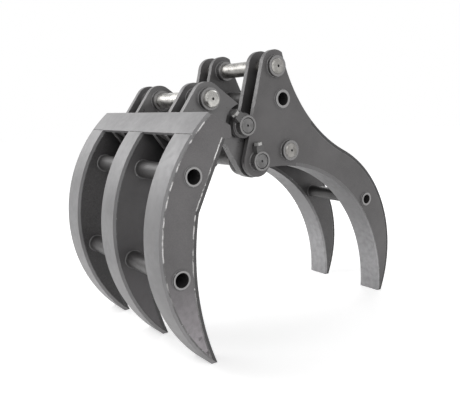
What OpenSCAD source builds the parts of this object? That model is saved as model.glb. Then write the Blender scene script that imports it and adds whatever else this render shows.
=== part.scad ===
// Pin-on grapple for a mini excavator: three front tines close over two rear tines.
// Origin at the stick pin centre, +X towards the rear jaw, +Y along the pins, +Z up.
// Places written [x, z] lie in the side view.

/* [Widths and plates] */
// distance between neighbouring front tines
tine_pitch = 205; // [120:1:320]
// width of one tine over its two side plates
tine_w = 62; // [40:1:110]
// thickness of the rear jaw plates
rear_t = 12; // [6:0.5:20]
// thickness of the front tine side plates
front_t = 8; // [5:0.5:16]
// thickness of the straps, the beam plate and the back plates
strap_t = 8; // [5:0.5:14]
// thickness of the link ears
ear_t = 12; // [6:0.5:20]
// thickness of the hinge lugs
lug_t = 22; // [12:1:36]

/* [Pins] */
// diameter of the four pins
pin_d = 35; // [20:1:60]
// gap round a pin in its bores
pin_gap = 0.1; // [0.02:0.01:0.5]
// chamfer on the pin ends
pin_chamfer = 2.5; // [0.5:0.5:6]
// diameter of the centre drilling in a pin end
dimple_d = 6; // [2:0.5:12]
// depth of the centre drilling
dimple_h = 4; // [1:0.5:10]
// outer diameter of the pin bosses
boss_d = 47; // [30:1:90]
// how far the stick and strut bosses stand out from the plates
boss_h = 9; // [3:0.5:30]
// how far a pin stands out from its boss
pin_proud = 3; // [0.5:0.5:20]
// length of the bosses inside the stick clevis
inner_boss_h = 16; // [4:0.5:40]

/* [Pin places] */
// strut pin
strut_at = [38, -192]; // [-400:1:400]
// jaw hinge pin
hinge_at = [-55, -210]; // [-400:1:400]
// opening stop pin
stop_at = [-93, -129]; // [-400:1:400]
// link pin
link_at = [-185, -70]; // [-400:1:400]

/* [Rear jaw side view] */
// height of the tine tips
floor_z = -604; // [-900:1:-300]
// radius of the plate round the stick pin
stick_ear_r = 37; // [26:0.5:70]
// radius of the plate round the hinge pin
hinge_ear_r = 37; // [26:0.5:70]
// radius of the plate round the stop tube
stop_ear_r = 28; // [23:0.5:50]
// centre of the hollow of the back
back_hollow_at = [377.5, 134.6]; // [-700:0.1:700]
// radius of the hollow of the back
back_hollow_r = 372; // [200:1:600]
// centre of the round of the back
back_round_at = [93.9, -481]; // [-700:0.1:700]
// centre of the inner edge
rear_inner_at = [2.6, -584.8]; // [-700:0.1:700]
// radius of the inner edge
rear_inner_r = 358; // [200:1:600]
// where the back strap starts
back_strap_x = 110; // [60:1:200]
// where the inner strap starts
inner_strap_x = 62; // [20:1:200]
// where the web plate between the rear tines ends
web_end_x = 300; // [180:1:340]

/* [Tubes] */
// spreader tube place
spreader_at = [19, -73]; // [-400:1:400]
// spreader tube outer diameter
spreader_d = 42; // [20:1:70]
// spreader tube bore
spreader_bore = 30; // [10:1:60]
// rear tine tube place
rear_tube_at = [306, -339]; // [-400:1:400]
// rear tine tube outer diameter
rear_tube_d = 34; // [16:1:60]
// rear tine tube bore
rear_tube_bore = 24; // [8:1:50]
// upper front tube place
upper_tube_at = [-292, -216]; // [-700:1:700]
// lower front tube place
lower_tube_at = [-327, -413]; // [-700:1:700]
// front tube outer diameter
front_tube_d = 38; // [16:1:60]
// front tube bore
front_tube_bore = 30; // [8:1:50]
// how far the tubes stand out from the side plates
tube_proud = 4; // [0.5:0.5:12]
// outer diameter of the stop tubes
stop_tube_d = 44; // [39:1:80]
// how far the stop tube and the hinge collar stand out
collar_h = 17; // [8:0.5:40]

/* [Front jaw side view] */
// centre of the outer edge
front_outer_at = [-31.7, -354.9]; // [-700:0.1:700]
// radius of the outer edge
front_outer_r = 340.4; // [200:0.1:600]
// centre of the inner edge
front_inner_at = [269, -393]; // [-700:0.1:700]
// radius of the inner edge
front_inner_r = 560; // [300:1:900]
// bend of the inner edge
bend_at = [-278, -282]; // [-700:1:700]
// top of the inner strap
inner_top = [-214, -147]; // [-700:1:700]
// upper corner of the side plate shoulder
shoulder_top = [-201, -123]; // [-700:1:700]
// lower corner of the side plate shoulder
shoulder_low = [-199, -143]; // [-700:1:700]
// angle of the beam plate's top edge, seen from the centre of the outer edge
beam_top_a = 130.3; // [110:0.1:150]
// angle of the beam plate's lower edge
beam_low_a = 139.8; // [120:0.1:170]
// height where the back plates end
back_low_z = -240; // [-400:1:-160]

/* [Link ears and hinge lugs] */
// radius of an ear round the link pin
link_ear_r = 36; // [26:0.5:70]
// length of the bosses outside the link ears
link_boss_h = 12; // [3:0.5:30]
// how far the link pin stands out
link_pin_proud = 9; // [1:0.5:30]
// corner of an ear over the stop tube
ear_corner = [-104, -83]; // [-400:1:400]
// lower inner corner of an ear
ear_low = [-128, -147]; // [-400:1:400]
// where the foot of an ear meets the back plate
ear_foot_z = -200; // [-400:1:-100]
// radius of the ear's notch round the stop tube
ear_notch_r = 49; // [30:1:80]
// radius of a lug round the hinge pin
lug_r = 40; // [28:0.5:70]
// upper corner of a lug
lug_crown = [-122, -95]; // [-400:1:400]
// where the foot of a lug meets the back plate
lug_foot_z = -178; // [-400:1:-100]
// waist of a lug under the stop tube
lug_waist = [-127, -168]; // [-400:1:400]
// outer diameter of the hinge bosses
hinge_boss_d = 58; // [40:1:90]
// gap beside a hinge boss
side_gap = 0.4; // [0.1:0.05:2]
// gap between a lug and the stop tube with the jaws fully open
stop_gap = 0.3; // [0.1:0.05:2]

/* [Retaining bolts] */
// bolt diameter
bolt_d = 10; // [5:0.5:20]
// gap round a bolt
bolt_gap = 0.2; // [0.05:0.05:1]
// width of a bolt head over the flats
bolt_flats = 17; // [8:0.5:32]
// height of a bolt head
bolt_head_h = 7; // [3:0.5:16]
// depth of a bolt in its pin
bolt_depth = 11; // [4:0.5:17]
// width of the block under a bolt head
block_w = 20; // [14:0.5:40]
// width of the block along the pin
block_l = 15; // [12:0.5:40]
// height of the block over the collar
block_h = 14; // [4:0.5:30]
// direction of the stop pin's bolt
stop_bolt_a = 136; // [0:1:360]
// direction of the hinge pin's bolt
hinge_bolt_a = 98; // [0:1:360]

/* [Hidden] */
$fn = 96;
over = 1;
pair_y = tine_pitch / 2;
pair_out = pair_y + tine_w / 2;
pair_in = pair_y - tine_w / 2;
beam_w = 2 * tine_pitch + tine_w;
pin_bore = pin_d + 2 * pin_gap;
back_round_r = norm(back_hollow_at - back_round_at) - back_hollow_r;
back_joint = back_round_at + back_round_r * unit(back_hollow_at - back_round_at);
bend_n = [inner_top.y - bend_at.y, bend_at.x - inner_top.x] / norm(inner_top - bend_at);
span = 2 * front_inner_r;
down_a = 270;

function unit(v) = v / norm(v);
function heading(v) = atan2(v.y, v.x);
function toward(a) = [cos(a), sin(a)];

// point where a line from p touches a circle, on the left or right as seen from the centre
function touch(p, c, r, side) = c + r * toward(heading(p - c) + side * acos(r / norm(p - c)));

// a point in the middle of the beam plate, seen at angle a
function beam_mid(a) = front_outer_at + (front_outer_r - strap_t / 2) * toward(a);

// the point of the straight inner edge at height z
function inner_edge(z) = inner_top + (bend_at - inner_top) * (z - inner_top.y) / (bend_at.y - inner_top.y);

// the same point, in the middle of the plate that lies along that edge
function inner_mid(z) = inner_edge(z) - strap_t / 2 * bend_n;

// an outline in the side view, from y0 on, t thick
module slab(y0, t) {
    translate([0, y0 + t, 0])
        rotate([90, 0, 0])
            linear_extrude(height = t)
                children();
}

// a round bar along the pins
module bar(at, d, y0, y1) {
    translate([at.x, y1, at.y])
        rotate([90, 0, 0])
            cylinder(d = d, h = y1 - y0);
}

module tube(at, d, bore, y0, y1) {
    difference() {
        bar(at, d, y0, y1);
        bar(at, bore, y0 - over, y1 + over);
    }
}

module hole(at, d) {
    translate(at)
        circle(d = d);
}

module both_sides() {
    children();
    mirror([0, 1, 0])
        children();
}

// side view of the rear jaw
module rear_outline() {
    difference() {
        union() {
            circle(r = stick_ear_r);
            polygon([
                touch(hinge_at, [0, 0], stick_ear_r, -1),
                touch([0, 0], hinge_at, hinge_ear_r, 1),
                hinge_at,
                back_round_at,
                back_joint,
                [stick_ear_r, 0]
            ]);
            intersection() {
                translate(back_round_at)
                    circle(r = back_round_r);
                polygon([
                    rear_inner_at,
                    back_joint,
                    [span, back_joint.y],
                    [span, floor_z],
                    [rear_inner_at.x, floor_z]
                ]);
            }
        }
        translate(back_hollow_at)
            circle(r = back_hollow_r);
        translate(rear_inner_at)
            circle(r = rear_inner_r);
    }
    translate(hinge_at)
        circle(r = hinge_ear_r);
}

// the stretch of the side view from x0 to x1, down to the floor
module stretch(x0, x1) {
    polygon([[x0, 0], [x1, 0], [x1, floor_z], [x0, floor_z]]);
}

// a ring of the side view
module ring(at, r0, r1) {
    translate(at)
        difference() {
            circle(r = r1);
            circle(r = r0);
        }
}

// a band along the back, from n0 to n1 under its edge, ending at x1
module back_band(n0, n1, x1) {
    intersection() {
        ring(back_hollow_at, back_hollow_r + n0, back_hollow_r + n1);
        stretch(back_strap_x, back_joint.x + over);
    }
    intersection() {
        ring(back_round_at, back_round_r - n1, back_round_r - n0);
        stretch(back_joint.x, x1);
    }
}

// a band along the inner edge, under the back strap
module inner_band(n0, n1) {
    intersection() {
        ring(rear_inner_at, rear_inner_r + n0, rear_inner_r + n1);
        stretch(inner_strap_x, span);
        translate(back_round_at)
            circle(r = back_round_r - strap_t);
    }
}

module rear_plate(y0) {
    color("#6f6d6d")
        slab(y0, rear_t)
            difference() {
                union() {
                    rear_outline();
                    translate(stop_at)
                        circle(r = stop_ear_r);
                }
                back_band(-over, strap_t, span);
                inner_band(-over, strap_t);
                hole([0, 0], pin_bore);
                hole(strut_at, pin_bore);
                hole(hinge_at, pin_bore);
                hole(stop_at, stop_tube_d);
                hole(spreader_at, spreader_d);
                hole(rear_tube_at, rear_tube_d);
            }
}

module rear_plate_near_outer() {
    rear_plate(-pair_out);
}

module rear_plate_near_inner() {
    rear_plate(-pair_in - rear_t);
}

module rear_plate_far_inner() {
    rear_plate(pair_in);
}

module rear_plate_far_outer() {
    rear_plate(pair_out - rear_t);
}

module rear_back_strap(y0) {
    color("#7f7d7d")
        slab(y0, tine_w)
            back_band(0, strap_t, span);
}

module rear_back_strap_near() {
    rear_back_strap(-pair_out);
}

module rear_back_strap_far() {
    rear_back_strap(pair_in);
}

module rear_inner_strap(y0) {
    color("#7f7d7d")
        slab(y0, tine_w)
            inner_band(0, strap_t);
}

module rear_inner_strap_near() {
    rear_inner_strap(-pair_out);
}

module rear_inner_strap_far() {
    rear_inner_strap(pair_in);
}

// the plate that closes the back between the two rear tines
module rear_web_plate() {
    color("#656363")
        slab(-pair_in, 2 * pair_in)
            back_band(strap_t, 2 * strap_t, web_end_x);
}

module rear_cross_tube() {
    color("#6a6868")
        tube(rear_tube_at, rear_tube_d, rear_tube_bore, -pair_out - tube_proud, pair_out + tube_proud);
}

module spreader_tube() {
    color("#6a6868")
        tube(spreader_at, spreader_d, spreader_bore, -pair_out - tube_proud, pair_out + tube_proud);
}

module stick_bosses_outer() {
    color("#777575")
        both_sides()
            tube([0, 0], boss_d, pin_bore, pair_out, pair_out + boss_h);
}

module stick_bosses_inner() {
    color("#777575")
        both_sides()
            tube([0, 0], boss_d, pin_bore, pair_in - inner_boss_h, pair_in);
}

module strut_bosses() {
    color("#777575")
        both_sides()
            tube(strut_at, boss_d, pin_bore, pair_out, pair_out + boss_h);
}

module hinge_collars() {
    color("#777575")
        difference() {
            both_sides()
                tube(hinge_at, stop_tube_d, pin_bore, pair_out, pair_out + collar_h);
            bolt_path(hinge_at, hinge_bolt_a);
        }
}

module stop_tubes() {
    color("#777575")
        difference() {
            both_sides()
                tube(stop_at, stop_tube_d, pin_bore, pair_in, pair_out + collar_h);
            bolt_path(stop_at, stop_bolt_a);
        }
}

// a pin with chamfered, centre-drilled ends
module pin(at, half) {
    translate([at.x, 0, at.y])
        rotate([90, 0, 0])
            rotate_extrude()
                polygon([
                    [0, dimple_h - half],
                    [dimple_d / 2, -half],
                    [pin_d / 2 - pin_chamfer, -half],
                    [pin_d / 2, pin_chamfer - half],
                    [pin_d / 2, half - pin_chamfer],
                    [pin_d / 2 - pin_chamfer, half],
                    [dimple_d / 2, half],
                    [0, half - dimple_h]
                ]);
}

module stick_pin() {
    color("#c4c4c2")
        pin([0, 0], pair_out + boss_h + pin_proud);
}

module strut_pin() {
    color("#c4c4c2")
        pin(strut_at, pair_out + boss_h + pin_proud);
}

// stands a bolt piece on the near collar of a pin, pointing along a
module at_bolt(at, a) {
    translate([at.x, -pair_out - collar_h / 2, at.y])
        rotate([0, 90 - a, 0])
            children();
}

module bolt_path(at, a) {
    at_bolt(at, a)
        translate([0, 0, pin_d / 2 - bolt_depth])
            cylinder(d = bolt_d + 2 * bolt_gap, h = bolt_depth + stop_tube_d);
}

module hinge_pin() {
    color("#8b8989")
        difference() {
            pin(hinge_at, pair_out + collar_h);
            bolt_path(hinge_at, hinge_bolt_a);
        }
}

module stop_pin() {
    color("#8b8989")
        difference() {
            pin(stop_at, pair_out + collar_h);
            bolt_path(stop_at, stop_bolt_a);
        }
}

module retaining_block(at, a) {
    difference() {
        at_bolt(at, a)
            translate([-block_w / 2, -block_l / 2, 0])
                cube([block_w, block_l, stop_tube_d / 2 + block_h]);
        bar(at, stop_tube_d, -pair_out - collar_h, -pair_out);
        bolt_path(at, a);
    }
}

module retaining_blocks() {
    color("#6a6868") {
        retaining_block(hinge_at, hinge_bolt_a);
        retaining_block(stop_at, stop_bolt_a);
    }
}

module retaining_bolt(at, a) {
    at_bolt(at, a) {
        translate([0, 0, pin_d / 2 - bolt_depth + bolt_gap])
            cylinder(d = bolt_d, h = bolt_depth - bolt_gap + (stop_tube_d - pin_d) / 2 + block_h);
        translate([0, 0, stop_tube_d / 2 + block_h])
            cylinder(d = bolt_flats / cos(30), h = bolt_head_h, $fn = 6);
    }
}

module retaining_bolts() {
    color("#b9b8b4") {
        retaining_bolt(hinge_at, hinge_bolt_a);
        retaining_bolt(stop_at, stop_bolt_a);
    }
}

// the space inside the front jaw, grown by n towards the tine
module front_hollow(n) {
    intersection() {
        translate(front_inner_at)
            circle(r = front_inner_r + n);
        polygon([
            [inner_edge(floor_z - over).x - n / bend_n.x, floor_z - over],
            [inner_top.x - n / bend_n.x, inner_top.y],
            [span, inner_top.y],
            [span, floor_z - over]
        ]);
    }
}

module front_zone() {
    polygon([
        [front_outer_at.x - front_outer_r, floor_z],
        [shoulder_low.x, floor_z],
        shoulder_low,
        shoulder_top,
        front_outer_at + front_outer_r * toward(beam_top_a),
        [front_outer_at.x - front_outer_r, front_outer_at.y + front_outer_r * sin(beam_top_a)]
    ]);
}

// a wedge seen from the centre of the front jaw's outer edge
module outer_wedge(a0, a1) {
    polygon([
        front_outer_at,
        front_outer_at + span * toward(a0),
        front_outer_at + span * toward(a1)
    ]);
}

// side view of a front tine, set in by b at the outer edge and n at the inner edge
module front_outline(b, n) {
    intersection() {
        difference() {
            translate(front_outer_at)
                circle(r = front_outer_r - b);
            front_hollow(n);
        }
        front_zone();
    }
}

// the outer edge of a front tine, from angle a0 to a1 and n proud
module outer_band(a0, a1, n) {
    intersection() {
        ring(front_outer_at, front_outer_r - strap_t, front_outer_r + n);
        outer_wedge(a0, a1);
        front_zone();
    }
}

module tine_side(y0) {
    color("#716f6f")
        slab(y0, front_t)
            difference() {
                front_outline(strap_t, strap_t);
                hole(upper_tube_at, front_tube_d);
                hole(lower_tube_at, front_tube_d);
            }
}

module tine_near_side_outer() {
    tine_side(-tine_pitch - tine_w / 2);
}

module tine_near_side_inner() {
    tine_side(-tine_pitch + tine_w / 2 - front_t);
}

module tine_mid_side_near() {
    tine_side(-tine_w / 2);
}

module tine_mid_side_far() {
    tine_side(tine_w / 2 - front_t);
}

module tine_far_side_inner() {
    tine_side(tine_pitch - tine_w / 2);
}

module tine_far_side_outer() {
    tine_side(tine_pitch + tine_w / 2 - front_t);
}

module tine_outer_strap(y) {
    color("#8d8b8b")
        slab(y - tine_w / 2, tine_w)
            outer_band(beam_low_a, down_a, 0);
}

module tine_near_outer_strap() {
    tine_outer_strap(-tine_pitch);
}

module tine_mid_outer_strap() {
    tine_outer_strap(0);
}

module tine_far_outer_strap() {
    tine_outer_strap(tine_pitch);
}

module front_inner_band() {
    difference() {
        front_outline(strap_t, 0);
        front_outline(strap_t, strap_t);
    }
}

module tine_inner_strap(y) {
    color("#7b7979")
        slab(y - tine_w / 2, tine_w)
            front_inner_band();
}

module tine_near_inner_strap() {
    tine_inner_strap(-tine_pitch);
}

module tine_mid_inner_strap() {
    tine_inner_strap(0);
}

module tine_far_inner_strap() {
    tine_inner_strap(tine_pitch);
}

module beam_plate() {
    color("#8d8b8b")
        slab(-beam_w / 2, beam_w)
            outer_band(beam_top_a, beam_low_a, 0);
}

module back_view() {
    intersection() {
        front_inner_band();
        polygon([
            [front_outer_at.x - front_outer_r, back_low_z],
            [0, back_low_z],
            [0, 0],
            [front_outer_at.x - front_outer_r, 0]
        ]);
    }
}

// a plate on the inner side, between two neighbouring front tines
module back_plate(y0) {
    color("#5d5b5b")
        slab(y0, tine_pitch - tine_w)
            back_view();
}

module back_plate_near() {
    back_plate(tine_w / 2 - tine_pitch);
}

module back_plate_far() {
    back_plate(tine_w / 2);
}

module front_tube(at) {
    color("#6a6868")
        tube(at, front_tube_d, front_tube_bore, -beam_w / 2 - tube_proud, beam_w / 2 + tube_proud);
}

module upper_cross_tube() {
    front_tube(upper_tube_at);
}

module lower_cross_tube() {
    front_tube(lower_tube_at);
}

module ear_view() {
    difference() {
        union() {
            translate(link_at)
                circle(r = link_ear_r);
            polygon([
                link_at,
                touch(beam_mid(beam_top_a), link_at, link_ear_r, -1),
                beam_mid(beam_top_a),
                beam_mid(beam_low_a),
                inner_mid(ear_foot_z),
                inner_mid(inner_top.y - strap_t / 2),
                ear_low,
                ear_corner,
                touch(ear_corner, link_at, link_ear_r, 1)
            ]);
        }
        outer_band(beam_top_a, down_a, 0);
        front_inner_band();
        hole(stop_at, 2 * ear_notch_r);
        hole(link_at, pin_bore);
    }
}

module link_ear(y0) {
    color("#737171")
        slab(y0, ear_t)
            ear_view();
}

module link_ear_near_outer() {
    link_ear(-pair_out);
}

module link_ear_near_inner() {
    link_ear(-pair_in - ear_t);
}

module link_ear_far_inner() {
    link_ear(pair_in);
}

module link_ear_far_outer() {
    link_ear(pair_out - ear_t);
}

module lug_view() {
    difference() {
        union() {
            translate(hinge_at)
                circle(r = lug_r);
            polygon([
                hinge_at,
                stop_at,
                lug_crown,
                beam_mid((beam_top_a + beam_low_a) / 2),
                beam_mid(beam_low_a),
                inner_mid(lug_foot_z),
                lug_waist,
                touch(lug_waist, hinge_at, lug_r, 1)
            ]);
        }
        hole(stop_at, stop_tube_d + 2 * stop_gap);
        hole(hinge_at, hinge_boss_d);
        outer_band(beam_top_a, down_a, 0);
        front_inner_band();
    }
}

module hinge_lug(y) {
    color("#6c6a6a")
        slab(y - lug_t / 2, lug_t)
            lug_view();
}

module hinge_lug_near() {
    hinge_lug(-pair_y);
}

module hinge_lug_far() {
    hinge_lug(pair_y);
}

module hinge_bosses() {
    color("#777575")
        both_sides()
            tube(hinge_at, hinge_boss_d, pin_bore, pair_in + rear_t + side_gap, pair_out - rear_t - side_gap);
}

module link_bosses_outer() {
    color("#777575")
        both_sides()
            tube(link_at, boss_d, pin_bore, pair_out, pair_out + link_boss_h);
}

module link_bosses_inner() {
    color("#777575")
        both_sides()
            tube(link_at, boss_d, pin_bore, pair_in - link_boss_h, pair_in);
}

// sleeves that hold the two ears of a pair apart
module link_sleeves() {
    color("#6a6868")
        both_sides()
            tube(link_at, boss_d, pin_bore, pair_in + ear_t, pair_out - ear_t);
}

module link_pin() {
    color("#c4c4c2")
        pin(link_at, pair_out + link_boss_h + link_pin_proud);
}

rear_plate_near_outer();
rear_plate_near_inner();
rear_plate_far_inner();
rear_plate_far_outer();
rear_back_strap_near();
rear_back_strap_far();
rear_inner_strap_near();
rear_inner_strap_far();
rear_web_plate();
rear_cross_tube();
spreader_tube();
stick_bosses_outer();
stick_bosses_inner();
strut_bosses();
hinge_collars();
stop_tubes();
stick_pin();
strut_pin();
hinge_pin();
stop_pin();
retaining_blocks();
retaining_bolts();
tine_near_side_outer();
tine_near_side_inner();
tine_mid_side_near();
tine_mid_side_far();
tine_far_side_inner();
tine_far_side_outer();
tine_near_outer_strap();
tine_mid_outer_strap();
tine_far_outer_strap();
tine_near_inner_strap();
tine_mid_inner_strap();
tine_far_inner_strap();
beam_plate();
back_plate_near();
back_plate_far();
upper_cross_tube();
lower_cross_tube();
link_ear_near_outer();
link_ear_near_inner();
link_ear_far_inner();
link_ear_far_outer();
hinge_lug_near();
hinge_lug_far();
hinge_bosses();
link_bosses_outer();
link_bosses_inner();
link_sleeves();
link_pin();
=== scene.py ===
import math
import random
import bpy
from mathutils import Matrix, Vector


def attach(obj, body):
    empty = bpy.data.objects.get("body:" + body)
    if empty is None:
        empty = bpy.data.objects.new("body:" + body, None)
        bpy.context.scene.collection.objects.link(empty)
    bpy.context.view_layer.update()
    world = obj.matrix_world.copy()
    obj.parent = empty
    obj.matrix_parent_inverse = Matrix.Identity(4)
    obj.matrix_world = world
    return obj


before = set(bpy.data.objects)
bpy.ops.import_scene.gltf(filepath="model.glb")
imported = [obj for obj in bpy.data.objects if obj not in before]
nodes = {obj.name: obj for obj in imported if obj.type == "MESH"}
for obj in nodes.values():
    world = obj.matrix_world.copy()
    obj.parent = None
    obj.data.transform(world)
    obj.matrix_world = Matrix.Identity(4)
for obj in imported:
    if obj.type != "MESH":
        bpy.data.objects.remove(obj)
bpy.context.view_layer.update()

# The four rear jaw plates are flame-cut steel, in two pairs boxed in by their
# straps. One coat of satin graphite over blasted steel is a little uneven on
# the flats, and thin and light along every cut edge, where the light edge is
# partly painted highlight. Every paint here is darkened in corners and
# recesses as painted shade, and the inner pair of plates is painted darker as
# shade.

PLATE_TONE = (0.104, 0.100, 0.101)
INNER_PLATE_SHADE_TONE = (0.082, 0.079, 0.080)
EDGE_TONE = (0.30, 0.295, 0.295)
PAINTED_SHADE_TONE, PAINTED_SHADE_REACH = (0.035, 0.034, 0.035), 0.12
CLOUD_DARK, CLOUD_LIGHT, CLOUD_SCALE = 0.86, 1.15, 11.0
SCUFF_SCALE, SCUFF_DEPTH = 75.0, 0.0004
GRAIN_SCALE, GRAIN_DEPTH = 900.0, 0.0001
CHIP_SCALE = 130.0
PAINT_EDGE_ROUND = 0.0011


def node(tree, kind, inputs=None, **settings):
    made = tree.nodes.new(kind)
    for key, value in settings.items():
        setattr(made, key, value)
    for key, value in (inputs or {}).items():
        if isinstance(value, bpy.types.NodeSocket):
            tree.links.new(value, made.inputs[key])
        else:
            made.inputs[key].default_value = value
    return made


def empty_tree(owner):
    owner.use_nodes = True
    owner.node_tree.nodes.clear()
    return owner.node_tree


def show(tree, surface, kind="ShaderNodeOutputMaterial"):
    tree.links.new(surface, node(tree, kind).inputs["Surface"])


def own_place(tree):
    return node(tree, "ShaderNodeTexCoord").outputs["Object"]


def noise(tree, place, scale, detail=3.0):
    made = node(tree, "ShaderNodeTexNoise", {"Vector": place, "Scale": scale, "Detail": detail})
    return made.outputs["Fac"]


def remap(tree, value, low, high, to_low=0.0, to_high=1.0):
    made = node(tree, "ShaderNodeMapRange", {
        "Value": value, "From Min": low, "From Max": high, "To Min": to_low, "To Max": to_high})
    return made.outputs["Result"]


def times(tree, a, b):
    return node(tree, "ShaderNodeMath", {0: a, 1: b}, operation="MULTIPLY").outputs[0]


def shade(tone, share):
    return [c * share for c in tone]


def blend_tones(tree, share, below, above):
    mix = node(tree, "ShaderNodeMix", {"Factor": share}, data_type="RGBA")
    for socket, tone in ((mix.inputs[6], below), (mix.inputs[7], above)):
        if isinstance(tone, bpy.types.NodeSocket):
            tree.links.new(tone, socket)
        else:
            socket.default_value = (*tone, 1.0)
    return mix.outputs[2]


def sharp_edges(tree, radius):
    """How much a point lies on a sharp edge, and the rounded normal there."""
    soft = node(tree, "ShaderNodeBevel", {"Radius": radius}, samples=4).outputs["Normal"]
    flat = node(tree, "ShaderNodeNewGeometry").outputs["True Normal"]
    facing = node(tree, "ShaderNodeVectorMath", {0: soft, 1: flat}, operation="DOT_PRODUCT")
    return remap(tree, facing.outputs["Value"], 0.995, 0.86), soft


def bump(tree, height, strength, depth, normal):
    made = node(tree, "ShaderNodeBump", {
        "Strength": strength, "Distance": depth, "Height": height, "Normal": normal})
    return made.outputs["Normal"]


def graphite_paint(name, tone, rough=0.43, metal=0.3, edge=0.75, painted_shade=0.5, worn=None,
                   specks=0.0, faced=None, bare=None, scraped=False):
    """Satin graphite paint. worn is (tone, height where it starts, height where it is full),
    and faced and bare are tones. The layers for wear, scrapes, faced ends, bare metal and
    specks stand with the first pieces that show them."""
    made = bpy.data.materials.new(name)
    tree = empty_tree(made)
    place = own_place(tree)
    cloud = noise(tree, place, CLOUD_SCALE, 4.0)
    grain = noise(tree, place, GRAIN_SCALE, 2.0)
    scuff = noise(tree, place, SCUFF_SCALE, 6.0)
    paint = blend_tones(tree, remap(tree, cloud, 0.32, 0.68),
                        shade(tone, CLOUD_DARK), shade(tone, CLOUD_LIGHT))
    paint = blend_tones(tree, remap(tree, grain, 0.35, 0.75, 0.0, 0.22), paint, EDGE_TONE)
    if worn:
        paint = worn_layer(tree, place, scuff, paint, worn)
    if scraped:
        paint = scraped_layer(tree, place, paint)
    if faced:
        paint = faced_layer(tree, paint, faced)
    # Painted shade: the paint darkens where ambient occlusion finds nearby corners and recesses.
    corner = node(tree, "ShaderNodeAmbientOcclusion", {"Distance": PAINTED_SHADE_REACH}, samples=6)
    painted_shade_share = remap(tree, corner.outputs["AO"], 0.62, 0.1, 0.0, painted_shade)
    paint = blend_tones(tree, painted_shade_share, paint, PAINTED_SHADE_TONE)
    # The light tone along sharp edges is partly thin, chipped paint and partly painted highlight.
    edges, soft = sharp_edges(tree, PAINT_EDGE_ROUND)
    chips = remap(tree, noise(tree, place, CHIP_SCALE, 5.0), 0.38, 0.62, 0.25, 1.0)
    paint = blend_tones(tree, times(tree, times(tree, edges, chips), edge), paint, EDGE_TONE)
    if bare:
        paint = bare_layer(tree, place, paint, bare)
    if specks:
        paint = speck_layer(tree, place, paint, specks)
    skin = bump(tree, scuff, 0.12, SCUFF_DEPTH, soft)
    skin = bump(tree, grain, 0.10, GRAIN_DEPTH, skin)
    shader = node(tree, "ShaderNodeBsdfPrincipled", {
        "Base Color": paint, "Metallic": metal, "Normal": skin,
        "Roughness": remap(tree, scuff, 0.3, 0.7, rough - 0.07, rough + 0.09)})
    show(tree, shader.outputs["BSDF"])
    return made


def finish_nodes(material, names):
    for name in names:
        for place in nodes[name].material_slots:
            place.link = "OBJECT"
            place.material = material


plate_paint = graphite_paint("plate_paint", PLATE_TONE)
finish_nodes(plate_paint, ["rear_plate_near_outer", "rear_plate_far_outer"])
# The inner pair is painted darker than the outer pair, as painted shade.
inner_plate_shade_paint = graphite_paint("inner_plate_shade_paint", INNER_PLATE_SHADE_TONE, painted_shade=0.8)
finish_nodes(inner_plate_shade_paint, ["rear_plate_near_inner", "rear_plate_far_inner"])

# The rear jaw's straps are rolled flat bar that closes the back and the inner
# side of each tine, and a curved web plate joins the two tines behind. Load
# polishes the inner side, so its paint is lighter towards the tips. The back
# straps are painted near-black as shade.

REAR_STRAP_TONE = (0.15, 0.147, 0.150)
REAR_STRAP_WORN = ((0.42, 0.415, 0.425), -0.30, -0.50)
BACK_STRAP_SHADE_TONE = (0.040, 0.038, 0.039)
WEB_TONE = (0.12, 0.117, 0.118)


def along_axis(tree, vector, axis):
    return node(tree, "ShaderNodeSeparateXYZ", {"Vector": vector}).outputs[axis]


def worn_layer(tree, place, scuff, paint, worn):
    """Paint rubbed unevenly to another tone, from one height down to the next."""
    tone, start, full = worn
    rubbed = remap(tree, scuff, 0.3, 0.65, 0.55, 1.0)
    low_down = remap(tree, along_axis(tree, place, "Z"), start, full)
    return blend_tones(tree, times(tree, low_down, rubbed), paint, tone)


strap_paint = graphite_paint("rear_strap_paint", REAR_STRAP_TONE, rough=0.4, worn=REAR_STRAP_WORN)
finish_nodes(strap_paint, ["rear_inner_strap_near", "rear_inner_strap_far"])
# The back straps' near-black tone is painted shade.
back_strap_paint = graphite_paint("rear_back_strap_paint", BACK_STRAP_SHADE_TONE, rough=0.5, edge=0.4)
finish_nodes(back_strap_paint, ["rear_back_strap_near", "rear_back_strap_far"])
web_paint = graphite_paint("web_paint", WEB_TONE, rough=0.5, painted_shade=0.7)
finish_nodes(web_paint, ["rear_web_plate"])

# The rear jaw's weld beads run along every strap joint and round each boss,
# tube and collar. Each is a row of small overlapping ripples, painted over,
# with bright specks of spatter that stayed bare.

MM = 0.001  # pieces are given in millimetres, and the depths and heights of finishes in metres
BEAD_SIDES = 7
RIPPLE = 3.4 * MM
RIPPLE_HEIGHT = 0.15
BEAD_STEP = 1.15 * MM
HAND_WAVER, WAVER_RADIANS = 0.12, 260.0  # a share of the bead, and radians to the metre
HAND_LUCK = 0.06
END_WIDTH, END_STEP = 0.35, 0.2
BEAD_TONE = (0.15, 0.147, 0.148)
SPATTER_TONE, SPATTER_SCALE = (0.72, 0.72, 0.71), 260.0
PAIR_OUT = 133.5
PAIR_IN = 71.5
SEAM_SINK = 0.9
RING_BEAD, RING_GAP = 1.9, 0.5
REAR_SEAMS = (
    # centre, radius, first and last heading, bead radius: back hollow, back round, inner side
    ((377.5, 134.6), 380.0, 226.0, 245.0, 1.3),
    ((93.9, -481.0), 297.8, 65.0, -23.0, 1.3),
    ((2.6, -584.8), 366.0, 80.0, -2.5, 1.5),
)
STICK, STICK_RING = (0.0, 0.0), 47
STRUT, STRUT_RING = (38.0, -192.0), 47
HINGE, HINGE_RING = (-55.0, -210.0), 44
STOP, STOP_RING = (-93.0, -129.0), 44
SPREADER, SPREADER_RING = (19.0, -73.0), 42
REAR_TUBE, REAR_TUBE_RING = (306.0, -339.0), 34


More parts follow.
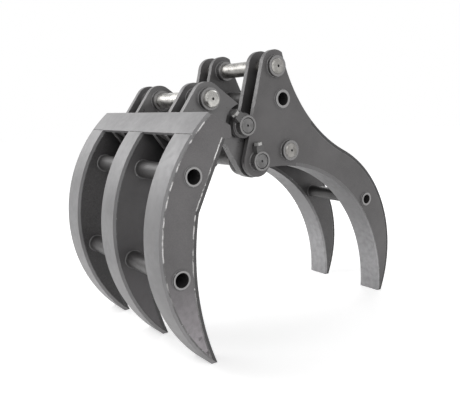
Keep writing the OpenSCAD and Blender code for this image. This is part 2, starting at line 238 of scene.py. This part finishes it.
def speck_layer(tree, place, paint, share):
    """Small bright specks of spatter."""
    dots = remap(tree, noise(tree, place, SPATTER_SCALE, 3.0), 0.66, 0.72, 0.0, share)
    return blend_tones(tree, dots, paint, SPATTER_TONE)


bead_paint = graphite_paint("bead_paint", BEAD_TONE, rough=0.38, edge=0.2, painted_shade=0.35, specks=0.85)
weld_luck = random.Random(7)


def walk(points, step):
    """The same line with a point every step."""
    out, left = [points[0]], 0.0
    for a, b in zip(points, points[1:]):
        run = (b - a).length
        at = step - left
        while at <= run:
            out.append(a.lerp(b, at / run))
            at += step
        left = run - (at - step)
    return out


def rim_point(centre, radius, heading, y):
    """A point on a circle in the side view, given in millimetres and degrees."""
    a = math.radians(heading)
    return Vector((centre[0] + radius * math.cos(a), y, centre[1] + radius * math.sin(a))) * MM


def arc(centre, radius, start, end, y, pieces=72):
    """An arc in the side view, from one heading to another."""
    return [rim_point(centre, radius, start + (end - start) * k / pieces, y)
            for k in range(pieces + 1)]


def bead_sections(path, radius, closed):
    """The corners of each cross-section along one bead, with its ripples and waver."""
    corners = []
    gone = 0.0
    last = len(path) - 1
    for k, here in enumerate(path):
        along = (path[min(k + 1, last)] - path[max(k - 1, 0)]).normalized()
        side = along.cross(Vector((0, 1, 0)))
        if side.length < 0.1:
            side = along.cross(Vector((0, 0, 1)))
        side.normalize()
        up = side.cross(along)
        wave = RIPPLE_HEIGHT * math.cos(math.tau * gone / RIPPLE)
        ripple = 1 + wave + weld_luck.uniform(-HAND_LUCK, HAND_LUCK)
        taper = 1.0 if closed else min(1.0, END_WIDTH + END_STEP * min(k, last - k))
        r = radius * MM * ripple * taper
        drift = side * radius * MM * HAND_WAVER * math.sin(gone * WAVER_RADIANS)
        for s in range(BEAD_SIDES):
            t = math.tau * s / BEAD_SIDES
            corners.append(here + drift + (side * math.cos(t) + up * math.sin(t)) * r)
        gone += BEAD_STEP
    return corners


def bead_mesh(lines):
    """Rippled weld beads, each line given as (points, radius in millimetres)."""
    corners, faces = [], []
    for points, radius in lines:
        path = walk(points, BEAD_STEP)
        if len(path) < 3:
            continue
        closed = (points[0] - points[-1]).length < MM
        start = len(corners)
        corners += bead_sections(path, radius, closed)
        for k in range(len(path) - 1):
            for s in range(BEAD_SIDES):
                a = start + k * BEAD_SIDES + s
                b = start + k * BEAD_SIDES + (s + 1) % BEAD_SIDES
                faces.append((a, b, b + BEAD_SIDES, a + BEAD_SIDES))
        faces.append(tuple(start + s for s in reversed(range(BEAD_SIDES))))
        last = start + (len(path) - 1) * BEAD_SIDES
        faces.append(tuple(last + s for s in range(BEAD_SIDES)))
    return corners, faces


def add_beads(name, lines, material, body):
    corners, faces = bead_mesh(lines)
    mesh = bpy.data.meshes.new(name)
    mesh.from_pydata(corners, [], faces)
    mesh.update()
    mesh.polygons.foreach_set("use_smooth", [True] * len(mesh.polygons))
    made = bpy.data.objects.new(name, mesh)
    bpy.context.scene.collection.objects.link(made)
    mesh.materials.append(material)
    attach(made, body)


def ring_line(centre, diameter, y):
    """A bead round a tube or boss where it meets a plate."""
    return arc(centre, diameter / 2 + RING_GAP, 0, 360, y, pieces=48), RING_BEAD


rear_seams = []
for plate_y in (-PAIR_OUT + SEAM_SINK, -PAIR_IN - SEAM_SINK,
                PAIR_IN + SEAM_SINK, PAIR_OUT - SEAM_SINK):
    for centre, radius, start, end, bead in REAR_SEAMS:
        rear_seams.append((arc(centre, radius, start, end, plate_y), bead))
add_beads("rear_seam_beads", rear_seams, bead_paint, "rear_jaw")

rear_rings = []
for side in (-1, 1):
    for centre, size in ((STICK, STICK_RING), (STRUT, STRUT_RING), (HINGE, HINGE_RING),
                         (STOP, STOP_RING), (SPREADER, SPREADER_RING),
                         (REAR_TUBE, REAR_TUBE_RING)):
        rear_rings.append(ring_line(centre, size, side * PAIR_OUT))
    for centre, size in ((STICK, STICK_RING), (SPREADER, SPREADER_RING),
                         (REAR_TUBE, REAR_TUBE_RING)):
        rear_rings.append(ring_line(centre, size, side * PAIR_IN))
add_beads("rear_ring_beads", rear_rings, bead_paint, "rear_jaw")

# The rear jaw's bosses, collars and tubes are turned rings and cut tube, welded
# to the plates. Their faced ends catch the light and are painted lighter, partly
# as painted highlight. The open tubes are painted darker than the plates as
# shade, and their bores go near-black with painted shade.

COLLAR_TONE, COLLAR_FACE = (0.13, 0.127, 0.127), (0.24, 0.235, 0.235)
SHADED_TUBE_TONE, TUBE_FACE = (0.055, 0.053, 0.053), (0.33, 0.325, 0.325)


def faced_layer(tree, paint, tone):
    """A lighter tone where an end was turned or sawn square across the grapple, and partly painted
    highlight.
    """
    normal = node(tree, "ShaderNodeTexCoord").outputs["Normal"]
    heading = along_axis(tree, normal, "Y")
    square = node(tree, "ShaderNodeMath", {0: heading}, operation="ABSOLUTE").outputs[0]
    return blend_tones(tree, remap(tree, square, 0.9, 0.98), paint, tone)


# The collars' light sharp edges are partly painted highlight.
collar_paint = graphite_paint("collar_paint", COLLAR_TONE, rough=0.27, metal=0.5, edge=1.0,
                              faced=COLLAR_FACE)
finish_nodes(collar_paint, ["stick_bosses_outer", "stick_bosses_inner", "strut_bosses",
                            "hinge_collars", "stop_tubes"])
# The tubes' dark tone and near-black bores are painted shade.
tube_paint = graphite_paint("tube_paint", SHADED_TUBE_TONE, rough=0.4, edge=1.0, painted_shade=0.9,
                            faced=TUBE_FACE)
finish_nodes(tube_paint, ["spreader_tube", "rear_cross_tube"])

# The stick, strut and link pins are ground and hardened, and left bare, with
# chamfered ends that were faced on a lathe. The cutting marks are fine rings
# round the centre drilling.

LINK, LINK_RING = (-185.0, -70.0), 47
SMEAR_SCALE = 60.0
PIT_TONE, PIT_SCALE = (0.16, 0.15, 0.14), 420.0
DRILLING_SHADE_TONE = (0.02, 0.02, 0.02)
BRIGHT_EDGE = (0.75, 0.75, 0.74)
SMEAR_DARK = 0.6
DRILLING_OUT, DRILLING_IN = 0.0036, 0.0026
RING_RADIANS, RING_DEPTH = 5200.0, 0.0001  # radians to the metre: a ring every 1.2 mm
PIN_EDGE_ROUND = 0.0008
BARE_PINS = (
    ("stick_pin", STICK, (0.42, 0.41, 0.39)),
    ("strut_pin", STRUT, (0.33, 0.32, 0.305)),
    ("link_pin", LINK, (0.62, 0.61, 0.585)),
)


def turned_steel(name, centre, tone, rough, metal):
    made = bpy.data.materials.new(name)
    tree = empty_tree(made)
    place = own_place(tree)
    split = node(tree, "ShaderNodeSeparateXYZ", {"Vector": place}).outputs
    flat = node(tree, "ShaderNodeCombineXYZ", {"X": split["X"], "Z": split["Z"]})
    middle = (centre[0] * MM, 0.0, centre[1] * MM)
    reach = node(tree, "ShaderNodeVectorMath", {0: flat.outputs["Vector"], 1: middle},
                 operation="DISTANCE").outputs["Value"]
    turns = times(tree, reach, RING_RADIANS)
    ring = node(tree, "ShaderNodeMath", {0: turns}, operation="SINE").outputs[0]
    smear = noise(tree, place, SMEAR_SCALE, 5.0)
    pits = noise(tree, place, PIT_SCALE, 3.0)
    steel = blend_tones(tree, remap(tree, smear, 0.36, 0.62), shade(tone, SMEAR_DARK), tone)
    steel = blend_tones(tree, remap(tree, pits, 0.56, 0.68, 0.0, 0.75), steel, PIT_TONE)
    # The centre drilling is a near-black disc of painted shade.
    drilling_shade = remap(tree, reach, DRILLING_OUT, DRILLING_IN)
    steel = blend_tones(tree, drilling_shade, steel, DRILLING_SHADE_TONE)
    # Sharp edges are lighter, partly as wear and partly as painted highlight.
    edges, soft = sharp_edges(tree, PIN_EDGE_ROUND)
    steel = blend_tones(tree, times(tree, edges, 0.5), steel, BRIGHT_EDGE)
    shader = node(tree, "ShaderNodeBsdfPrincipled", {
        "Base Color": steel, "Metallic": metal,
        "Normal": bump(tree, ring, 0.25, RING_DEPTH, soft),
        "Roughness": remap(tree, smear, 0.3, 0.7, rough - 0.06, rough + 0.1)})
    show(tree, shader.outputs["BSDF"])
    return made


for pin, centre, tone in BARE_PINS:
    finish_nodes(turned_steel(pin + "_steel", centre, tone, rough=0.3, metal=0.85), [pin])

# The hinge pin and the stop pin stay in the grapple. Each is held by a cross
# bolt and was painted with it, so their ends are grey inside a light rim.

PAINTED_PIN_TONE = (0.21, 0.207, 0.207)

for pin, centre in (("hinge_pin", HINGE), ("stop_pin", STOP)):
    finish_nodes(turned_steel(pin + "_paint", centre, PAINTED_PIN_TONE, rough=0.42, metal=0.3),
                 [pin])

# A retaining block is welded beside each of those two pins and carries a
# plated bolt. The paint on the block is thick and dark, and the bolt head has
# bright corners.

BLOCK_TONE = (0.10, 0.098, 0.098)
BOLT_TONE = (0.42, 0.42, 0.41)

block_paint = graphite_paint("block_paint", BLOCK_TONE, rough=0.45, edge=0.5)
finish_nodes(block_paint, ["retaining_blocks"])
bolt_plate = graphite_paint("bolt_plate", BOLT_TONE, rough=0.34, metal=0.8, edge=1.0, specks=0.6)
finish_nodes(bolt_plate, ["retaining_bolts"])

# The front tines' side plates are thin, two to a tine, between its outer and
# inner straps. The lower third rubs in the ground, so the paint there is paler
# and scraped. The sides that face each other are painted darker as shade,
# their paler lower parts too, and the far tine's inside is darkest.

SIDE_TONE = (0.118, 0.113, 0.115)
SIDE_WORN = ((0.40, 0.372, 0.392), -0.40, -0.57)
BETWEEN_SHADE_TONE = (0.072, 0.069, 0.071)
BETWEEN_SHADE_WORN = ((0.17, 0.162, 0.168), -0.40, -0.60)
DEEP_SHADE_TONE = (0.034, 0.032, 0.033)
SCRAPE_TONE, SCRAPE_SCALE, SCRAPE_SHARE = (0.045, 0.042, 0.043), 62.0, 0.7
SCRAPES_START, SCRAPES_FULL = -0.515, -0.56


def scraped_layer(tree, place, paint):
    """Dark scrapes at the very ends of the tines."""
    marks = remap(tree, noise(tree, place, SCRAPE_SCALE, 2.0), 0.60, 0.66)
    low_down = remap(tree, along_axis(tree, place, "Z"), SCRAPES_START, SCRAPES_FULL)
    share = times(tree, times(tree, low_down, marks), SCRAPE_SHARE)
    return blend_tones(tree, share, paint, SCRAPE_TONE)


side_paint = graphite_paint("tine_side_paint", SIDE_TONE, rough=0.44, worn=SIDE_WORN,
                            scraped=True)
finish_nodes(side_paint, ["tine_near_side_outer", "tine_far_side_outer"])
# Painted shade: the sides between the tines and their wear take darker tones, and the far tine's
# inside a near-black one.
between_paint = graphite_paint("between_tines_shade_paint", BETWEEN_SHADE_TONE, rough=0.5, painted_shade=0.9,
                               worn=BETWEEN_SHADE_WORN)
finish_nodes(between_paint, ["tine_near_side_inner", "tine_mid_side_near", "tine_mid_side_far"])
deep_paint = graphite_paint("far_tine_inside_shade_paint", DEEP_SHADE_TONE, rough=0.5, painted_shade=0.9)
finish_nodes(deep_paint, ["tine_far_side_inner"])

# The front straps are rolled bar and run into the beam plate that ties the
# three tines. The outer faces are rubbed smooth. The inner straps and the
# back plates between the tines are painted near-black as shade.

OUTER_STRAP_TONE = (0.225, 0.222, 0.226)
OUTER_STRAP_WORN = ((0.33, 0.32, 0.325), -0.38, -0.60)
INNER_STRAP_SHADE_TONE = (0.055, 0.053, 0.054)
BACK_PLATE_SHADE_TONE = (0.03, 0.029, 0.030)

outer_paint = graphite_paint("outer_strap_paint", OUTER_STRAP_TONE, rough=0.5, metal=0.2,
                             worn=OUTER_STRAP_WORN)
finish_nodes(outer_paint, ["tine_near_outer_strap", "tine_mid_outer_strap",
                           "tine_far_outer_strap", "beam_plate"])
# The inner straps' and back plates' near-black tones are painted shade.
inner_paint = graphite_paint("inner_strap_paint", INNER_STRAP_SHADE_TONE, rough=0.46)
finish_nodes(inner_paint, ["tine_near_inner_strap", "tine_mid_inner_strap",
                           "tine_far_inner_strap"])
back_paint = graphite_paint("back_plate_paint", BACK_PLATE_SHADE_TONE, rough=0.6, painted_shade=0.9)
finish_nodes(back_paint, ["back_plate_near", "back_plate_far"])
finish_nodes(tube_paint, ["upper_cross_tube", "lower_cross_tube"])

# The front jaw's long weld beads show as pale lines on the outermost side
# plates, ground flush in places, so bare metal comes and goes along them. The
# beads between the tines are painted darker as shade, and those round the
# tubes and bosses are painted over.

TINE_PLACES = (-205.0, 0.0, 205.0)
TINE_HALF = 31.0
STRAP = 8.0
OUTER_CENTRE, OUTER_RADIUS = (-31.7, -354.9), 340.4
INNER_CENTRE, INNER_RADIUS = (269.0, -393.0), 560.0
OUTER_SEAM_END = 226.5
INNER_SEAM_START, INNER_SEAM_END = 169.4, 200.5
INNER_TOP = Vector((-214.0, -147.0))
INNER_BEND = Vector((-281.5, -288.5))
SEAM_NORMAL = Vector((0.9036, -0.4284))
BEAM_LOW = 139.8
BEAM_TOP = 130.3
OUTER_BEAD, INNER_BEAD, DULL_BEAD = 1.9, 1.8, 1.4
UPPER_TUBE, LOWER_TUBE, CROSS_TUBE_RING = (-292.0, -216.0), (-327.0, -413.0), 38
EAR_THICK = 12.0
LUG_FACES = (91.5, 113.5)
HINGE_BOSS_RING = 58
SEAM_TONE, BARE_SEAM_TONE = (0.13, 0.127, 0.128), (0.60, 0.59, 0.585)
INSIDE_BEAD_SHADE_TONE = (0.075, 0.073, 0.074)
PATCH_SCALE = 48.0
BARE_GONE, BARE_FULL, LEAST_BARE = -0.47, -0.36, 0.12


def bare_layer(tree, place, paint, tone):
    """Bright metal that comes and goes along a bead, and fades low down."""
    patches = remap(tree, noise(tree, place, PATCH_SCALE, 7.0), 0.47, 0.56)
    high_up = remap(tree, along_axis(tree, place, "Z"), BARE_GONE, BARE_FULL, LEAST_BARE, 1.0)
    return blend_tones(tree, times(tree, patches, high_up), paint, tone)


def side_line(a, b, y, pieces=24):
    """A straight bead in the side view."""
    return [Vector((a[0] + (b[0] - a[0]) * k / pieces, y, a[1] + (b[1] - a[1]) * k / pieces)) * MM
            for k in range(pieces + 1)]


seam_paint = graphite_paint("seam_paint", SEAM_TONE, rough=0.34, edge=0.2, painted_shade=0.2,
                            specks=1.0, bare=BARE_SEAM_TONE)
# The darker bead paint is painted shade.
inside_bead_shade_paint = graphite_paint("inside_bead_shade_paint", INSIDE_BEAD_SHADE_TONE, rough=0.45, edge=0.2,
                                 specks=0.4)
bend_line = (INNER_TOP - SEAM_NORMAL * STRAP, INNER_BEND - SEAM_NORMAL * STRAP)
outside_seams, inside_seams = [], []
for y in TINE_PLACES:
    for side in (-1, 1):
        face = y + side * (TINE_HALF - SEAM_SINK)
        outside = abs(face) > max(TINE_PLACES)
        seams = outside_seams if outside else inside_seams
        outer_bead, inner_bead = (OUTER_BEAD, INNER_BEAD) if outside else (DULL_BEAD, DULL_BEAD)
        seams.append((arc(OUTER_CENTRE, OUTER_RADIUS - STRAP, BEAM_TOP + 1, OUTER_SEAM_END,
                          face, pieces=96), outer_bead))
        seams.append((arc(INNER_CENTRE, INNER_RADIUS + STRAP, INNER_SEAM_START, INNER_SEAM_END,
                          face), inner_bead))
        seams.append((side_line(*bend_line, face), inner_bead))
add_beads("front_outside_beads", outside_seams, seam_paint, "front_jaw")
add_beads("front_inside_beads", inside_seams, inside_bead_shade_paint, "front_jaw")

ear_faces = (PAIR_OUT, PAIR_OUT - EAR_THICK, PAIR_IN + EAR_THICK, PAIR_IN)
front_rings = []
for y in TINE_PLACES:
    for side in (-1, 1):
        for centre in (UPPER_TUBE, LOWER_TUBE):
            front_rings.append(ring_line(centre, CROSS_TUBE_RING, y + side * TINE_HALF))
for side in (-1, 1):
    for face in ear_faces:
        front_rings.append(ring_line(LINK, LINK_RING, side * face))
    for face in LUG_FACES:
        front_rings.append(ring_line(HINGE, HINGE_BOSS_RING, side * face))
add_beads("front_ring_beads", front_rings, bead_paint, "front_jaw")

# The four link ears and the two hinge lugs stand on the inside of the beam and
# on the back plates, with a fillet down both sides of every one. Bright tacks
# sit where the beam's lower edge meets each tine.

BEAM_SEAM_RADIUS, BEAM_BEAD = 340.2, 1.0
BEAM_SEAM_PIECES = 20
TACK_SINK, TACK_BEAD = 2.0, 3.0
TACK_PLACES = (-3, -1, 1)
FOOT_RADIUS = 332.4
EAR_BACK_LOW, EAR_FOOT_BEAD, EAR_BACK_BEAD = (-239.0, -200.0), 2.6, 2.2
LUG_BACK_LOW, LUG_FOOT_BEAD, LUG_BACK_BEAD = (-228.0, -177.0), 2.8, 2.6
EAR_FOOT_START = BEAM_TOP + 0.4
LUG_FOOT_START = 134.0

foot_lines, tacks = [], []
for y in TINE_PLACES:
    for side in (-1, 1):
        across = [y + side * TINE_HALF * k / BEAM_SEAM_PIECES
                  for k in range(BEAM_SEAM_PIECES + 1)]
        foot_lines.append(([rim_point(OUTER_CENTRE, BEAM_SEAM_RADIUS, BEAM_LOW, place)
                            for place in across], BEAM_BEAD))
        corner = rim_point(OUTER_CENTRE, BEAM_SEAM_RADIUS - TACK_SINK, BEAM_LOW,
                           y + side * TINE_HALF)
        tacks.append(([corner + Vector((0, side * k * MM, 0)) for k in TACK_PLACES], TACK_BEAD))
add_beads("beam_corner_tacks", tacks, seam_paint, "front_jaw")
for side in (-1, 1):
    for face in ear_faces:
        foot_lines.append((arc(OUTER_CENTRE, FOOT_RADIUS, EAR_FOOT_START, BEAM_LOW,
                               side * face, pieces=12), EAR_FOOT_BEAD))
        foot_lines.append((side_line(INNER_TOP, EAR_BACK_LOW, side * face), EAR_BACK_BEAD))
    for face in LUG_FACES:
        foot_lines.append((arc(OUTER_CENTRE, FOOT_RADIUS, LUG_FOOT_START, BEAM_LOW,
                               side * face, pieces=12), LUG_FOOT_BEAD))
        foot_lines.append((side_line(INNER_TOP, LUG_BACK_LOW, side * face), LUG_BACK_BEAD))
# The fillets and the beam seams take the darker bead paint, as painted shade.
add_beads("front_foot_beads", foot_lines, inside_bead_shade_paint, "front_jaw")

# The link ears and hinge lugs are cut from thicker plate than the tines. The
# ears are rounded over the link pin and notched to pass the stop tube, and the
# lugs turn on the hinge pin. Their rings are turned.

EAR_TONE = (0.140, 0.137, 0.138)

# The light tone along the ears' sharp edges is partly painted highlight.
ear_paint = graphite_paint("ear_paint", EAR_TONE, rough=0.33, metal=0.4, edge=0.95)
finish_nodes(ear_paint, ["link_ear_near_outer", "link_ear_near_inner", "link_ear_far_inner",
                         "link_ear_far_outer", "hinge_lug_near", "hinge_lug_far"])
finish_nodes(collar_paint, ["hinge_bosses", "link_bosses_outer", "link_bosses_inner",
                            "link_sleeves"])

# The grapple stands on its tine tips on a pale floor. The main lamp is on the
# far left, and wide ones fill in from the near side and from behind.

FLOOR = -604.0 * MM
REACH = 9.0
FLOOR_TONE = (0.8, 0.8, 0.8, 1.0)
WHITE = (1.0, 1.0, 1.0, 1.0)
NEAR_GLOW, FAR_GLOW = 0.53, 0.76
GLOW_NEAR_END, GLOW_FAR_START = 0.7, 1.8
SKY_LIGHT = 0.34

floor_mesh = bpy.data.meshes.new("floor")
floor_mesh.from_pydata([(-REACH, -REACH, FLOOR), (REACH, -REACH, FLOOR),
                        (REACH, REACH, FLOOR), (-REACH, REACH, FLOOR)], [], [(0, 1, 2, 3)])
floor = bpy.data.objects.new("floor", floor_mesh)
bpy.context.scene.collection.objects.link(floor)


def seen_directly(tree):
    path = node(tree, "ShaderNodeLightPath").outputs
    seen = path["Is Camera Ray"]
    for ray in ("Is Glossy Ray", "Is Transmission Ray"):
        seen = node(tree, "ShaderNodeMath", {0: seen, 1: path[ray]}, operation="MAXIMUM").outputs[0]
    return seen


pale = bpy.data.materials.new("pale_floor")
tree = empty_tree(pale)
matt = node(tree, "ShaderNodeBsdfDiffuse", {"Color": FLOOR_TONE})
away = node(tree, "ShaderNodeVectorMath", {0: own_place(tree)}, operation="LENGTH")
# The floor's glow, seen only directly, is weaker near the grapple: painted shade round it that lets
# the shadows under the tips show.
glow_level = remap(tree, away.outputs["Value"], GLOW_NEAR_END, GLOW_FAR_START,
                   NEAR_GLOW, FAR_GLOW)
glow = node(tree, "ShaderNodeEmission", {"Strength": times(tree, seen_directly(tree), glow_level)})
both = node(tree, "ShaderNodeAddShader", {0: matt.outputs[0], 1: glow.outputs[0]})
show(tree, both.outputs[0])
floor_mesh.materials.append(pale)

world = bpy.data.worlds.new("studio")
bpy.context.scene.world = world
tree = empty_tree(world)
dim = node(tree, "ShaderNodeBackground", {"Strength": SKY_LIGHT, "Color": WHITE})
white = node(tree, "ShaderNodeBackground", {"Strength": 1.0, "Color": WHITE})
mixed = node(tree, "ShaderNodeMixShader", {
    0: seen_directly(tree), 1: dim.outputs[0], 2: white.outputs[0]})
show(tree, mixed.outputs[0], "ShaderNodeOutputWorld")


def soft_lamp(name, place, aim, size, power):
    light = bpy.data.lights.new(name, "AREA")
    light.shape = "SQUARE"
    light.size = size
    light.energy = power
    lamp = bpy.data.objects.new(name, light)
    lamp.visible_camera = False
    lamp.location = place
    lamp.rotation_euler = (Vector(aim) - Vector(place)).to_track_quat("-Z", "Y").to_euler()
    bpy.context.scene.collection.objects.link(lamp)


soft_lamp("key_lamp", place=(-1.15, 1.0, 0.75), aim=(-0.25, 0.0, -0.25), size=1.2, power=19.0)
soft_lamp("fill_lamp", place=(-0.8, -2.3, 0.8), aim=(0.0, 0.0, -0.3), size=1.6, power=24.0)
soft_lamp("rear_lamp", place=(1.9, 1.0, 1.2), aim=(0.0, 0.0, -0.3), size=1.6, power=24.0)

# The camera stands where the photograph was taken from, low on the near side
# of the front jaw. Its place and its lens were fitted to the photograph.

CAMERA_PLACE = Vector((-0.86723, -1.17367, -0.08373))
AZIMUTH, ELEVATION, ROLL = (math.radians(v) for v in (-35.12, 10.236, -1.573))
SENSOR = 36.0
FOCAL_PIXELS = 581.16
PHOTO_WIDTH = 460.0

look = Vector((-math.sin(AZIMUTH) * math.cos(ELEVATION),
               math.cos(AZIMUTH) * math.cos(ELEVATION), -math.sin(ELEVATION)))
level = Vector((math.cos(AZIMUTH), math.sin(AZIMUTH), 0.0))
upright = level.cross(look)
right = math.cos(ROLL) * level + math.sin(ROLL) * upright
up = -math.sin(ROLL) * level + math.cos(ROLL) * upright
turn = Matrix((right, up, -look)).transposed().to_4x4()
camera_data = bpy.data.cameras.new("camera")
camera_data.sensor_fit = "HORIZONTAL"
camera_data.sensor_width = SENSOR
camera_data.lens = FOCAL_PIXELS * SENSOR / PHOTO_WIDTH
camera = bpy.data.objects.new("camera", camera_data)
camera.matrix_world = Matrix.Translation(CAMERA_PLACE) @ turn
bpy.context.scene.collection.objects.link(camera)
bpy.context.scene.camera = camera
bpy.context.scene.view_settings.view_transform = "Standard"
